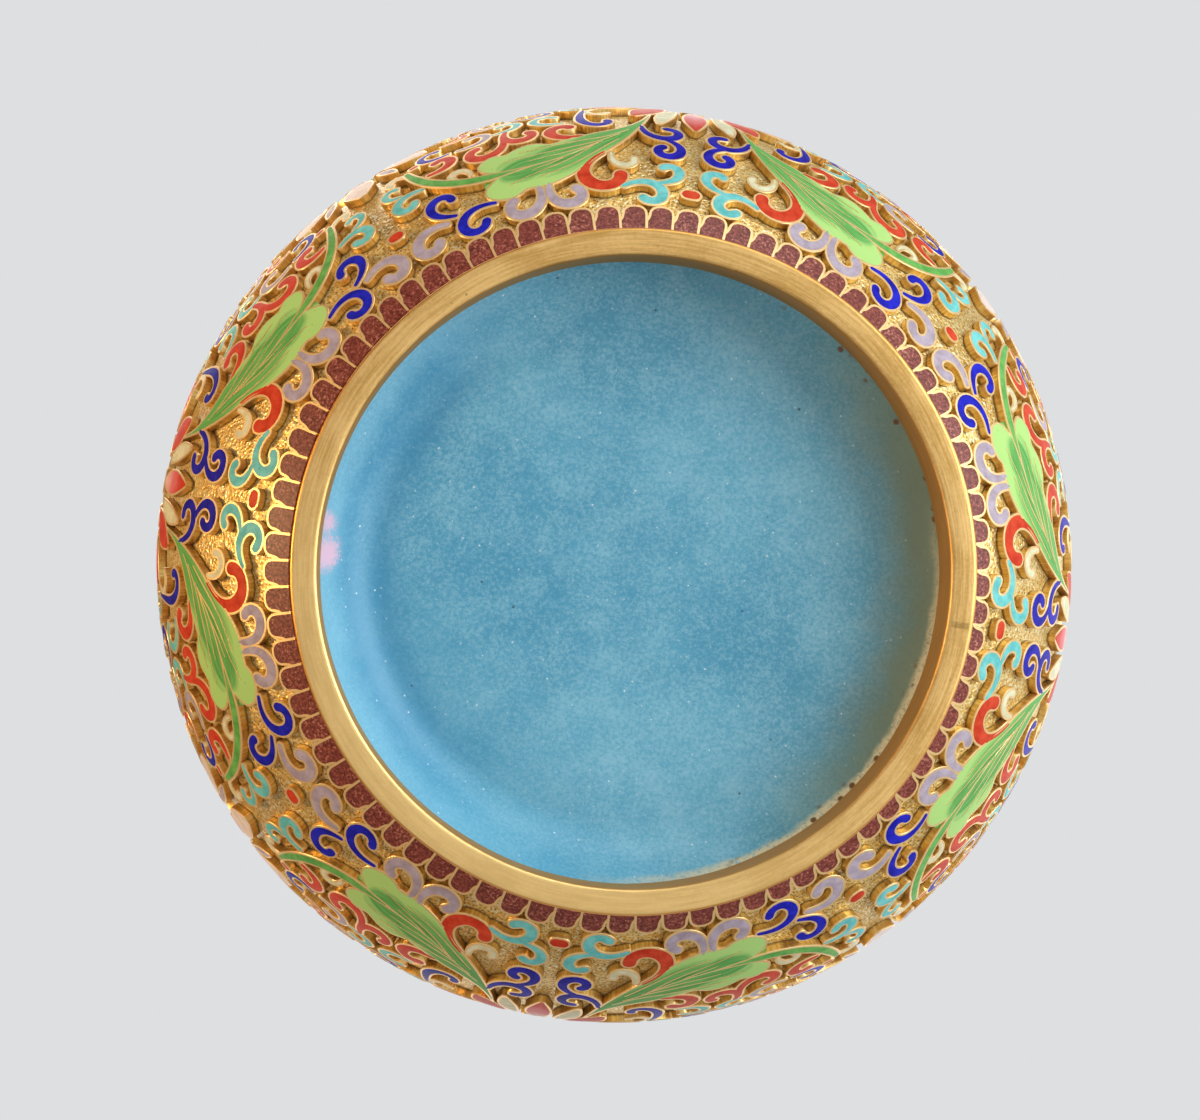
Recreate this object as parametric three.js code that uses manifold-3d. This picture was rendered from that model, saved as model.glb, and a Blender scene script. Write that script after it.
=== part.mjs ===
// A globular lidded jar in raised cloisonne: copper walls with enamelled leaves and rosettes standing
// above a gilt ground, a plain gilt foot ring, a gilt mouth ring, and a domed lid with a bud knob.
// Millimetres, +Z up. The origin is the centre of the foot ring's underside.
import * as THREE from "three";
import { mergeVertices } from "three/addons/utils/BufferGeometryUtils.js";
import Module from "manifold-3d";

const wasm = await Module();
wasm.setup();

// Driving dimensions of the jar
const BELLY_RADIUS = 60; // over the raised cells
const BELLY_HEIGHT = 46.8; // of the widest girth above the table
const SIDE_ROUNDNESS = 44; // radius of the side's arc, over the raised cells
const CELL_HEIGHT = 1.1; // of the raised cells above the gilt ground
const SIDE_START = 33; // degrees: slope of the side where it leaves the foot ring
const WALL = 2;
const BASE_HEIGHT = 9.5; // of the enamelled base above the table
const BASE_THICKNESS = 2.5;
const BASE_FILLET_WIDTH = 6.8; // enamel drawn up the inside of the foot ring
const BASE_FILLET_DROP = 2.7;
const BORDER_WIDTH = 3.5; // border of lappets at the foot and at the mouth

// Driving dimensions of the gilt rings
const FOOT_RADIUS = 38.7;
const FOOT_WIDTH = 3.1;
const FOOT_HEIGHT = 9.8;
const FOOT_CHAMFER = 0.35;
const MOUTH_RADIUS = 39.4; // outside of the mouth ring
const MOUTH_WIDTH = 3.4;
const MOUTH_HEIGHT = 4.1;
const RIM_RADIUS = 40.2; // outside of the lid's rim
const RIM_HEIGHT = 3.2;
const COLLAR_DEPTH = 3.8; // of the lid's collar below the rim
const COLLAR_WIDTH = 1.4;
const GAP = 0.3; // between touching pieces

// Driving dimensions of the lid and its knob
const LID_RADIUS = 39; // of the gilt ground at the lid's edge
const LID_RISE = 17;
const KNOB_SEAT_RADIUS = 7;
const KNOB_HEIGHT = 15.5;
const KNOB_NECK_RADIUS = 3.6;
const KNOB_BUD_RADIUS = 6.4;

// Ornament: places are degrees round the jar from a rosette's axis and millimetres up the side
const FACETS = 40; // sides of a turned piece
const WELD = 1e-4; // corners closer than this are one
const SECTORS = 4; // repeats of the ornament round the jar
const RELIEF_ROOT = 0.8; // depth to which the relief is rooted in the wall
const LEAF_BASE = [31, 12.8];
const LEAF_BEND = [11.5, 10.4];
const LEAF_TIP = [5.6, 27.8];
const LEAF_HALF_WIDTH = 5.2;
const LEAF_RIBS = 7;
const PETAL_RIBS = 5;
const HEART_TIP = 21.2; // of the petal that hangs from a rosette between two leaves
const HEART_HALF_WIDTH = 4.4;
const ROSETTE_PETALS = 8;
const ROSETTE_HALF_HEIGHT = 14.5;
const ROSETTE_HALF_WIDTH = 16.5;
const LID_PETALS = 8;
const LID_PETAL_TIP = 10;
const LID_PETAL_BASE = 31;
const LID_PETAL_HALF_WIDTH = 5.4;

const radians = THREE.MathUtils.degToRad;

// An arc that is turned about the jar's axis: its centre, its radius at the gilt ground, and the slope
// where the distance along it is zero
const SIDE = {
  centreRadius: BELLY_RADIUS - SIDE_ROUNDNESS,
  centreHeight: BELLY_HEIGHT,
  radius: SIDE_ROUNDNESS - CELL_HEIGHT,
  start: radians(SIDE_START),
};
const SIDE_LENGTH = SIDE_ROUNDNESS * (Math.PI - 2 * SIDE.start);
const BODY_TOP = 2 * BELLY_HEIGHT - FOOT_HEIGHT - GAP;
const MOUTH_BOTTOM = BODY_TOP + GAP;
const RIM_BOTTOM = MOUTH_BOTTOM + MOUTH_HEIGHT + GAP;
const LID_BOTTOM = RIM_BOTTOM + RIM_HEIGHT + GAP;
const LID_ROUNDNESS = (LID_RADIUS ** 2 + LID_RISE ** 2) / (2 * LID_RISE);
const DOME = {
  centreRadius: 0,
  centreHeight: LID_BOTTOM + LID_RISE - LID_ROUNDNESS,
  radius: LID_ROUNDNESS,
  start: Math.PI - Math.asin(LID_RADIUS / LID_ROUNDNESS),
};
const KNOB_SEAT = DOME.centreHeight + Math.sqrt(LID_ROUNDNESS ** 2 - KNOB_SEAT_RADIUS ** 2);
const KNOB_BOTTOM = KNOB_SEAT + GAP;

// Radius and height on an arc at a slope, with a height over the gilt ground
function onArc(arc, slope, rise) {
  const reach = arc.radius + rise;
  const radius = arc.centreRadius + reach * Math.sin(slope);
  const height = arc.centreHeight - reach * Math.cos(slope);
  return new THREE.Vector2(radius, height);
}

// Points along an arc between two slopes, both ends included
function arcPoints(arc, from, to, steps, rise) {
  const slopes = Array.from({ length: steps + 1 }, (_, i) => from + ((to - from) * i) / steps);
  return slopes.map((slope) => onArc(arc, slope, rise));
}

// Slope at which an arc, raised by rise, reaches a radius on its upper half
function upperSlopeAt(arc, radius, rise) {
  return Math.PI - Math.asin((radius - arc.centreRadius) / (arc.radius + rise));
}

// A place in the ornament as a point in space
function ornamentPoint(arc, degrees, along, rise) {
  const slope = arc.start + along / (arc.radius + CELL_HEIGHT);
  const point = onArc(arc, slope, rise);
  const turn = radians(degrees - 90);
  return new THREE.Vector3(point.x * Math.cos(turn), point.x * Math.sin(turn), point.y);
}

// Millimetres for one degree round the jar at a place along an arc
function degreeLength(arc, along) {
  const slope = arc.start + along / (arc.radius + CELL_HEIGHT);
  return radians(1) * onArc(arc, slope, CELL_HEIGHT).x;
}

// A geometry stripped to positions, with close corners welded and collapsed triangles dropped
function welded(geometry) {
  const bare = geometry.clone();
  bare.deleteAttribute("normal");
  bare.deleteAttribute("uv");
  const merged = mergeVertices(bare, WELD);
  const corners = [];
  for (let i = 0; i < merged.index.count; i += 3) {
    const [a, b, c] = [0, 1, 2].map((k) => merged.index.getX(i + k));
    if (a !== b && b !== c && c !== a) corners.push(a, b, c);
  }
  return merged.setIndex(corners);
}

// A closed geometry as a solid
function solidFrom(geometry) {
  const closed = welded(geometry);
  const vertProperties = new Float32Array(closed.attributes.position.array);
  const triVerts = new Uint32Array(closed.index.array);
  return new wasm.Manifold(new wasm.Mesh({ numProp: 3, vertProperties, triVerts }));
}

// A solid as a named mesh
function meshFrom(name, solid, material) {
  const made = solid.getMesh();
  const raw = new THREE.BufferGeometry();
  raw.setAttribute("position", new THREE.BufferAttribute(made.vertProperties, 3));
  raw.setIndex(new THREE.BufferAttribute(made.triVerts, 1));
  const geometry = welded(raw);
  geometry.computeVertexNormals();
  const mesh = new THREE.Mesh(geometry, material);
  mesh.name = name;
  return mesh;
}

// A closed profile of radius and height, turned about the axis
function turned(profile, facets = FACETS) {
  const geometry = new THREE.LatheGeometry(profile, facets);
  geometry.rotateX(Math.PI / 2);
  return solidFrom(geometry);
}

// Turns pairs of radius and height into profile points
function profileOf(pairs) {
  return pairs.map(([radius, height]) => new THREE.Vector2(radius, height));
}

// A raised patch: rows of places [degrees, along, rise] become its top, and the same places sunk into
// the wall its root. With loop set, the rows run round a centre, which is each row's first place.
function raisedPatch(arc, rows, loop) {
  const points = [];
  const quad = (a, b, c, d) => points.push(a, b, c, a, c, d);
  const raise = ([degrees, along, rise]) => ornamentPoint(arc, degrees, along, rise);
  const sink = ([degrees, along]) => ornamentPoint(arc, degrees, along, -RELIEF_ROOT);
  const top = rows.map((row) => row.map(raise));
  const root = rows.map((row) => row.map(sink));
  const last = rows[0].length - 1;
  const end = rows.length - 1;
  const strips = loop ? rows.length : end;
  for (let i = 0; i < strips; i++) {
    const n = (i + 1) % rows.length;
    for (let j = 0; j < last; j++) {
      quad(top[i][j], top[n][j], top[n][j + 1], top[i][j + 1]);
      quad(root[i][j + 1], root[n][j + 1], root[n][j], root[i][j]);
    }
    quad(top[i][last], top[n][last], root[n][last], root[i][last]);
    if (!loop) quad(top[n][0], top[i][0], root[i][0], root[n][0]);
  }
  if (!loop) {
    for (let j = 0; j < last; j++) {
      quad(top[0][j], top[0][j + 1], root[0][j + 1], root[0][j]);
      quad(top[end][j + 1], top[end][j], root[end][j], root[end][j + 1]);
    }
  }
  return solidFrom(new THREE.BufferGeometry().setFromPoints(points));
}

// Rows of a leaf laid across its curved midrib, from the stem to the tip, edges lower than the middle
function leafRows(arc, base, bend, tip, halfWidth, ribs) {
  const midrib = new THREE.QuadraticBezierCurve(
    new THREE.Vector2(...base),
    new THREE.Vector2(...bend),
    new THREE.Vector2(...tip),
  );
  const rows = [];
  for (let i = 0; i < ribs; i++) {
    const t = i / (ribs - 1);
    const middle = midrib.getPoint(t);
    const heading = midrib.getTangent(t);
    const degree = degreeLength(arc, middle.y);
    const ahead = new THREE.Vector2(heading.x * degree, heading.y).normalize();
    const fullness = Math.sin(Math.PI * Math.min(1, 0.16 + t * 0.84) ** 0.62) ** 0.8;
    const half = Math.max(0.25, halfWidth * fullness);
    const across = [1, 0, -1].map((side) => [
      middle.x + (side * half * ahead.y) / degree,
      middle.y - side * half * ahead.x,
      CELL_HEIGHT * (side ? 0.8 : 1),
    ]);
    rows.push(across);
  }
  return rows;
}

// Rows of a straight petal from its base to its tip, both given along the arc
function petalRows(arc, place, base, tip, halfWidth) {
  return leafRows(arc, [place, base], [place, (base + tip) / 2], [place, tip], halfWidth, PETAL_RIBS);
}

// Mirrors rows about a rosette's axis, or about the jar's girth, keeping the faces outward
function mirrored(rows, sideways, upward) {
  const flip = ([degrees, along, rise]) => [
    sideways ? -degrees : degrees,
    upward ? SIDE_LENGTH - along : along,
    rise,
  ];
  const moved = rows.map((row) => row.map(flip));
  return sideways === upward ? moved : moved.reverse();
}

// Turns rows round the jar
function turnedRows(rows, degrees) {
  return rows.map((row) => row.map(([place, along, rise]) => [place + degrees, along, rise]));
}

// Rows of a rosette on the girth: spokes from its boss to the petal tips and the notches between them
function rosetteRows(centre) {
  const along = SIDE_LENGTH / 2;
  const degree = degreeLength(SIDE, along);
  const rows = [];
  for (let i = 0; i < ROSETTE_PETALS * 2; i++) {
    const angle = (Math.PI * i) / ROSETTE_PETALS;
    const isTip = i % 2 === 0;
    const reach = isTip ? 1 : 0.84;
    const rings = [
      [0, 1],
      [0.45 * reach, 1],
      [reach, isTip ? 0.85 : 0.65],
    ];
    const row = rings.map(([share, height]) => [
      centre - (ROSETTE_HALF_WIDTH * share * Math.sin(angle)) / degree,
      along - ROSETTE_HALF_HEIGHT * share * Math.cos(angle),
      CELL_HEIGHT * height,
    ]);
    rows.push(row);
  }
  return rows;
}

// The jar's wall turned from one closed profile, with its border bands, base and open mouth
function jarShell() {
  const band = BORDER_WIDTH / SIDE_ROUNDNESS;
  const first = SIDE.start;
  const finish = Math.PI - first;
  const bandRise = 0.9 * CELL_HEIGHT;
  const enamelRadius = FOOT_RADIUS - FOOT_WIDTH - GAP;
  const seat = FOOT_HEIGHT + GAP;
  const mouthBore = MOUTH_RADIUS - MOUTH_WIDTH + GAP;
  const fillet = [0, 0.5, 0.8, 1].map((share) => [
    enamelRadius - BASE_FILLET_WIDTH * (1 - share),
    BASE_HEIGHT - BASE_FILLET_DROP * share ** 2,
  ]);
  const floor = BASE_HEIGHT + BASE_THICKNESS;
  const floorSlope = Math.acos((SIDE.centreHeight - floor) / (SIDE.radius - WALL));
  const boreSlope = upperSlopeAt(SIDE, mouthBore, -WALL);
  return turned([
    ...profileOf([[0, BASE_HEIGHT], ...fillet, [enamelRadius, seat]]),
    ...arcPoints(SIDE, first, first + band, 1, bandRise),
    ...arcPoints(SIDE, first + band, finish - band, 9, 0),
    ...arcPoints(SIDE, finish - band, finish, 1, bandRise),
    new THREE.Vector2(mouthBore, BODY_TOP),
    ...arcPoints(SIDE, boreSlope, floorSlope, 6, -WALL),
    new THREE.Vector2(0, floor),
  ]);
}

// The jar with its leaves, heart petals and rosettes, above and below the girth
function jarBody() {
  const leaf = leafRows(SIDE, LEAF_BASE, LEAF_BEND, LEAF_TIP, LEAF_HALF_WIDTH, LEAF_RIBS);
  const heartBase = SIDE_LENGTH / 2 - 0.8 * ROSETTE_HALF_HEIGHT;
  const heart = petalRows(SIDE, 0, heartBase, HEART_TIP, HEART_HALF_WIDTH);
  const sector = 360 / SECTORS;
  let body = jarShell();
  for (let i = 0; i < SECTORS; i++) {
    const place = i * sector;
    for (const upward of [false, true]) {
      for (const sideways of [false, true]) {
        body = body.add(raisedPatch(SIDE, turnedRows(mirrored(leaf, sideways, upward), place), false));
      }
      body = body.add(raisedPatch(SIDE, turnedRows(mirrored(heart, false, upward), place), false));
    }
    for (const half of [0, 0.5]) {
      body = body.add(raisedPatch(SIDE, rosetteRows(place + half * sector), true));
    }
  }
  return body;
}

// The plain ring that the jar stands on
function footRing() {
  const inner = FOOT_RADIUS - FOOT_WIDTH;
  return turned(
    profileOf([
      [inner, FOOT_CHAMFER],
      [inner + FOOT_CHAMFER, 0],
      [FOOT_RADIUS - FOOT_CHAMFER, 0],
      [FOOT_RADIUS, FOOT_CHAMFER],
      [FOOT_RADIUS, FOOT_HEIGHT],
      [inner, FOOT_HEIGHT],
      [inner, FOOT_CHAMFER],
    ]),
  );
}

// The ring round the mouth, with a rolled outer edge
function mouthRing() {
  const inner = MOUTH_RADIUS - MOUTH_WIDTH;
  const top = MOUTH_BOTTOM + MOUTH_HEIGHT;
  const roll = MOUTH_WIDTH / 4;
  return turned(
    profileOf([
      [inner, MOUTH_BOTTOM],
      [MOUTH_RADIUS - roll, MOUTH_BOTTOM],
      [MOUTH_RADIUS, MOUTH_BOTTOM + roll],
      [MOUTH_RADIUS, top - roll],
      [MOUTH_RADIUS - roll, top],
      [inner, top],
      [inner, MOUTH_BOTTOM],
    ]),
  );
}

// The lid's rim, with the collar that drops inside the mouth ring
function lidRim() {
  const collar = MOUTH_RADIUS - MOUTH_WIDTH - GAP;
  const inner = collar - COLLAR_WIDTH;
  const top = RIM_BOTTOM + RIM_HEIGHT;
  const roll = RIM_HEIGHT / 3;
  return turned(
    profileOf([
      [inner, RIM_BOTTOM - COLLAR_DEPTH],
      [collar, RIM_BOTTOM - COLLAR_DEPTH],
      [collar, RIM_BOTTOM],
      [RIM_RADIUS - roll, RIM_BOTTOM],
      [RIM_RADIUS, RIM_BOTTOM + roll],
      [RIM_RADIUS, top - roll],
      [RIM_RADIUS - roll, top],
      [inner, top],
      [inner, RIM_BOTTOM - COLLAR_DEPTH],
    ]),
  );
}

// The hollow dome with a border band, a flat seat for the knob and a ring of raised petals
function lid() {
  const band = BORDER_WIDTH / LID_ROUNDNESS;
  const seatSlope = upperSlopeAt(DOME, KNOB_SEAT_RADIUS, 0);
  const innerEdge = Math.sqrt((LID_ROUNDNESS - WALL) ** 2 - (LID_BOTTOM - DOME.centreHeight) ** 2);
  const innerSlope = upperSlopeAt(DOME, innerEdge, -WALL);
  const innerSeat = upperSlopeAt(DOME, KNOB_SEAT_RADIUS, -WALL);
  const edge = onArc(DOME, DOME.start + band, 0.9 * CELL_HEIGHT);
  let dome = turned([
    ...profileOf([
      [0, KNOB_SEAT - WALL],
      [KNOB_SEAT_RADIUS, KNOB_SEAT - WALL],
    ]),
    ...arcPoints(DOME, innerSeat - radians(4), innerSlope, 3, -WALL),
    new THREE.Vector2(LID_RADIUS + 0.9 * CELL_HEIGHT, LID_BOTTOM),
    edge,
    ...arcPoints(DOME, DOME.start + band, seatSlope, 5, 0),
    new THREE.Vector2(0, KNOB_SEAT),
  ]);
  for (let i = 0; i < LID_PETALS; i++) {
    const place = (360 / LID_PETALS) * i;
    const rows = petalRows(DOME, place, LID_PETAL_BASE, LID_PETAL_TIP, LID_PETAL_HALF_WIDTH);
    dome = dome.add(raisedPatch(DOME, rows, false));
  }
  return dome;
}

// A flange, a neck and a pointed bud
function knob() {
  const share = (part) => KNOB_BOTTOM + KNOB_HEIGHT * part;
  return turned(
    profileOf([
      [0, KNOB_BOTTOM],
      [KNOB_SEAT_RADIUS, KNOB_BOTTOM],
      [KNOB_SEAT_RADIUS, share(0.08)],
      [KNOB_SEAT_RADIUS * 0.8, share(0.15)],
      [KNOB_NECK_RADIUS, share(0.24)],
      [KNOB_NECK_RADIUS, share(0.3)],
      [KNOB_BUD_RADIUS * 0.85, share(0.42)],
      [KNOB_BUD_RADIUS, share(0.54)],
      [KNOB_BUD_RADIUS * 0.86, share(0.68)],
      [KNOB_BUD_RADIUS * 0.5, share(0.83)],
      [KNOB_BUD_RADIUS * 0.18, share(0.94)],
      [0, share(1)],
    ]),
    FACETS / 2,
  );
}

const cloisonne = new THREE.MeshStandardMaterial({ color: 0xb98a3a, roughness: 0.4, metalness: 0.7 });
const gilt = new THREE.MeshStandardMaterial({ color: 0xd2a24a, roughness: 0.3, metalness: 1 });

const jar = new THREE.Group();
jar.add(
  meshFrom("jar_body", jarBody(), cloisonne.clone()),
  meshFrom("foot_ring", footRing(), gilt.clone()),
  meshFrom("mouth_ring", mouthRing(), gilt.clone()),
  meshFrom("lid", lid(), cloisonne.clone()),
  meshFrom("lid_rim", lidRim(), gilt.clone()),
  meshFrom("knob", knob(), gilt.clone()),
);

export default jar;
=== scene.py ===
import math

import bmesh
import bpy
import numpy as np
from mathutils import Matrix, Vector


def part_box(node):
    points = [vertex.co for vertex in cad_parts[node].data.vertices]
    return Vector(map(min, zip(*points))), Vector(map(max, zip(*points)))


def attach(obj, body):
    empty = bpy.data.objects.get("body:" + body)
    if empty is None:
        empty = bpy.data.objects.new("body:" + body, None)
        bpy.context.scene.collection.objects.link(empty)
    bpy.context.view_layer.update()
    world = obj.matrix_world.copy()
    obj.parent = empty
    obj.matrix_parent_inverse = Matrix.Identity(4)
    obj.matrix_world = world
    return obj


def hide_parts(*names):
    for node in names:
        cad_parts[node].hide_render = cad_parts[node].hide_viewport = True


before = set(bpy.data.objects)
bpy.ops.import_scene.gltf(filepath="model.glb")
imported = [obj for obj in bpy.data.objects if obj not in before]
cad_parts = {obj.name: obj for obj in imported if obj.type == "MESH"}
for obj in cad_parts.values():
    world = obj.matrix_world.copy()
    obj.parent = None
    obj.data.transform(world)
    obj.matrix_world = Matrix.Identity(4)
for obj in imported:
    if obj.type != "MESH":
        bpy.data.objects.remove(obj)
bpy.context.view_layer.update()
print("frame loaded:", ", ".join(sorted(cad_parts)))

mm = 0.001  # designs below are in millimetres, meshes in metres


def nodeBox(node):
    low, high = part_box(node)
    return low / mm, high / mm


bodyHigh = nodeBox("jar_body")[1]
footLow, footHigh = nodeBox("foot_ring")
mouthLow, mouthHigh = nodeBox("mouth_ring")
rimLow, rimHigh = nodeBox("lid_rim")
lidLow = nodeBox("lid")[0]
knobLow, knobHigh = nodeBox("knob")


# node building

def connect(socket, value):
    if isinstance(value, Strand):
        socket.id_data.links.new(value.socket, socket)
    else:
        socket.default_value = value


class Strand:  # an output socket that can stand in a sum
    def __init__(self, socket):
        self.socket = socket

    def maths(self, operation, first, second):
        node = self.socket.id_data.nodes.new("ShaderNodeMath")
        node.operation = operation
        connect(node.inputs[0], first)
        connect(node.inputs[1], second)
        return Strand(node.outputs[0])

    def __add__(self, other):
        return self.maths("ADD", self, other)

    def __radd__(self, other):
        return self.maths("ADD", other, self)

    def __sub__(self, other):
        return self.maths("SUBTRACT", self, other)

    def __rsub__(self, other):
        return self.maths("SUBTRACT", other, self)

    def __mul__(self, other):
        return self.maths("MULTIPLY", self, other)

    def __rmul__(self, other):
        return self.maths("MULTIPLY", other, self)

    def __truediv__(self, other):
        return self.maths("DIVIDE", self, other)

    def __pow__(self, other):
        return self.maths("POWER", self, other)

    def __abs__(self):
        return self.maths("ABSOLUTE", self, 0.0)


class Tree:  # a node tree, shader or geometry
    def __init__(self, tree):
        self.tree = tree

    def node(self, kind, settings=None, sockets=None, output=0):
        made = self.tree.nodes.new(kind)
        for name, value in (settings or {}).items():
            setattr(made, name, value)
        for name, value in (sockets or {}).items():
            connect(made.inputs[name], value)
        return Strand(made.outputs[output])


class Finish(Tree):  # a material with its usual texture nodes
    def __init__(self, name):
        self.material = bpy.data.materials.new(name)
        self.material.use_nodes = True
        super().__init__(self.material.node_tree)
        self.shader = self.tree.nodes["Principled BSDF"]

    def surface(self, sockets):
        for name, value in sockets.items():
            connect(self.shader.inputs[name], value)

    def objectPlace(self):
        return self.node("ShaderNodeTexCoord", output="Object")

    def noise(self, vector, size, detail=2.0, roughness=0.5):
        sockets = {"Vector": vector, "Scale": 1 / (size * mm), "Detail": detail, "Roughness": roughness}
        return self.node("ShaderNodeTexNoise", None, sockets)

    def cells(self, vector, size, output="Distance"):
        sockets = {"Vector": vector, "Scale": 1 / (size * mm)}
        return self.node("ShaderNodeTexVoronoi", None, sockets, output)

    def between(self, value, low, high, first=0.0, last=1.0):  # smooth step
        sockets = {"Value": value, 1: low, 2: high, 3: first, 4: last}
        return self.node("ShaderNodeMapRange", {"interpolation_type": "SMOOTHSTEP"}, sockets)

    def mix(self, share, first, second):
        sockets = {0: share, 6: first, 7: second}
        return self.node("ShaderNodeMix", {"data_type": "RGBA"}, sockets, 2)

    def parts(self, vector):
        return [self.node("ShaderNodeSeparateXYZ", None, {0: vector}, axis) for axis in "XYZ"]

    def attribute(self, name):
        return self.node("ShaderNodeAttribute", {"attribute_name": name}, None, "Vector")

    def bump(self, height, strength, depth):
        sockets = {"Height": height, "Strength": strength, "Distance": depth * mm}
        return self.node("ShaderNodeBump", None, sockets)


def colour(red, green, blue):  # screen values to linear light
    linear = [((value / 255 + 0.055) / 1.055) ** 2.4 for value in (red, green, blue)]
    return (*linear, 1.0)


# finishes

gilding = {
    "bright": colour(250, 220, 146),
    "deep": colour(222, 176, 92),
    # dark tone for dirt and painted shade in the pits and at the foot of the walls
    "tarnishAndShade": colour(88, 58, 22),
    "spark": colour(255, 246, 206),
    "edge": colour(252, 212, 148),
    "metal": 0.62,
    "stippleSize": 0.46,
    "grainSize": 0.36,
    "stippleDepth": 0.12,
    "streakSize": 20.0,  # thousandths of a cell's length
}


def stippledGilt():  # the punched ground between the cells, with painted shade in the pits and painted glints
    finish = Finish("stippled_gilt")
    place = finish.objectPlace()
    stipple = finish.cells(place, gilding["stippleSize"])
    grain = finish.noise(place, gilding["grainSize"], 2.0, 0.6)
    cloud = finish.noise(place, 4.0, 3.0)
    shade = finish.between(grain + 0.3 * (cloud - 0.5), 0.38, 0.6)
    gold = finish.mix(shade, gilding["deep"], gilding["bright"])
    # painted shade: the stipple pits are darkened toward the tarnish tone, partly dirt and partly shade
    dirtAndShade = finish.between(stipple - 0.5 * (grain - 0.5), 0.34, 0.14)
    gold = finish.mix(dirtAndShade * 0.85, gold, gilding["tarnishAndShade"])
    # painted glints: near-white specks where the grain peaks stand for sparkle on the gilt
    spark = finish.between(grain + 0.25 * stipple, 0.68, 0.78)
    finish.surface({
        "Base Color": finish.mix(spark, gold, gilding["spark"]),
        "Metallic": gilding["metal"],
        "Roughness": 0.44 - 0.16 * spark + 0.12 * dirtAndShade,
        "Normal": finish.bump(stipple + 0.8 * grain, 0.9, gilding["stippleDepth"]),
    })
    return finish.material


def wireGilt():  # cell walls, with a painted highlight along the polished tops and painted shade at their foot
    finish = Finish("wire_gilt")
    place = finish.objectPlace()
    along, across, top = finish.parts(finish.attribute("place"))
    upright = finish.node("ShaderNodeCombineXYZ", None, {0: along, 1: across * 0.02, 2: top * 0.004})
    streak = finish.noise(upright, gilding["streakSize"], 3.0, 0.6)
    grain = finish.noise(place, 0.35, 2.0)
    wall = finish.mix(finish.between(streak, 0.36, 0.62), gilding["deep"], gilding["bright"])
    # painted shade: the foot of each wall is darkened toward the tarnish tone, partly tarnish and partly
    # shade in the crevice
    dirtAndShade = finish.between(top + 0.3 * (grain - 0.5), 0.52, 0.26)
    wall = finish.mix(dirtAndShade * 0.8, wall, gilding["tarnishAndShade"])
    # painted highlight: the tops turn paler and less metallic, standing for the bright reflection they
    # catch
    wornAndSheen = finish.between(top + 0.2 * (grain - 0.5), 0.8, 1.0)
    finish.surface({
        "Base Color": finish.mix(wornAndSheen, wall, gilding["edge"]),
        "Metallic": 0.9 - 0.35 * wornAndSheen - 0.3 * dirtAndShade,
        "Roughness": 0.26 + 0.14 * grain + 0.06 * wornAndSheen + 0.2 * dirtAndShade,
        "Normal": finish.bump(streak * 0.8 + grain * 0.4, 0.4, 0.08),
    })
    return finish.material


turning = {
    "face": colour(250, 206, 134),
    "wornAndSheen": colour(214, 166, 92),
    "spot": colour(120, 82, 42),
    "soilAndShade": colour(180, 114, 34),
    "edgeHighlight": colour(238, 170, 84),
    "lineSize": 0.3,
    "lineDepth": 0.04,
    "streak": 1.6,  # millimetres of texture to one radian
    "sheen": colour(255, 220, 150),
    "sheenWay": (-3.0, 7.0),  # toward the side given a painted warm sheen, share to a metre
}


# rings finished on a lathe, soiled inside, with a painted highlight along the outer edge and a painted warm
# sheen on one side
def turnedGilt(name, soilAndShadeRadius=0.0, lipRadius=1000.0):
    finish = Finish(name)
    place = finish.objectPlace()
    x, y, z = finish.parts(place)
    radius = (x * x + y * y) ** 0.5
    streak = turning["streak"] * mm
    ringed = {0: radius + 0.7 * z, 1: streak * x / radius, 2: streak * y / radius}
    across = finish.node("ShaderNodeCombineXYZ", None, ringed)
    lines = finish.noise(across, turning["lineSize"], 4.0, 0.7)
    cloud = finish.noise(place, 9.0, 4.0, 0.6)
    grain = finish.noise(place, 0.4, 3.0)
    spots = finish.between(finish.cells(place, 2.2), 0.1, 0.03) * finish.between(cloud, 0.45, 0.7)
    wear = finish.between(cloud * 0.4 + lines * 0.6 + grain * 0.15, 0.44, 0.7)
    gold = finish.mix(wear, turning["wornAndSheen"], turning["face"])
    # painted reflection: the ring is lightened toward the warm sheen on one side
    sheenSide = finish.between(x * turning["sheenWay"][0] + y * turning["sheenWay"][1], 0.0, 0.25)
    gold = finish.mix(sheenSide * 0.55, gold, turning["sheen"])
    # painted highlight: a warm line along the outer edge of the bottom face
    outermost = finish.between(radius, (lipRadius - 0.3) * mm, lipRadius * mm)
    lowest = finish.between(z, 0.9 * mm, 0.5 * mm)
    gold = finish.mix(outermost * lowest, gold, turning["edgeHighlight"])
    soilAndShade = finish.between(radius, soilAndShadeRadius * mm, (soilAndShadeRadius - 0.12) * mm) * (0.5 + 0.5 * cloud)
    gold = finish.mix(soilAndShade, gold, turning["soilAndShade"])
    finish.surface({
        "Base Color": finish.mix(spots * 0.7, gold, turning["spot"]),
        "Metallic": 0.96 - 0.4 * soilAndShade,
        "Roughness": 0.28 + 0.16 * lines + 0.14 * grain + 0.2 * soilAndShade,
        "Normal": finish.bump(lines + 0.2 * grain, 0.7, turning["lineDepth"]),
    })
    return finish.material


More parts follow.
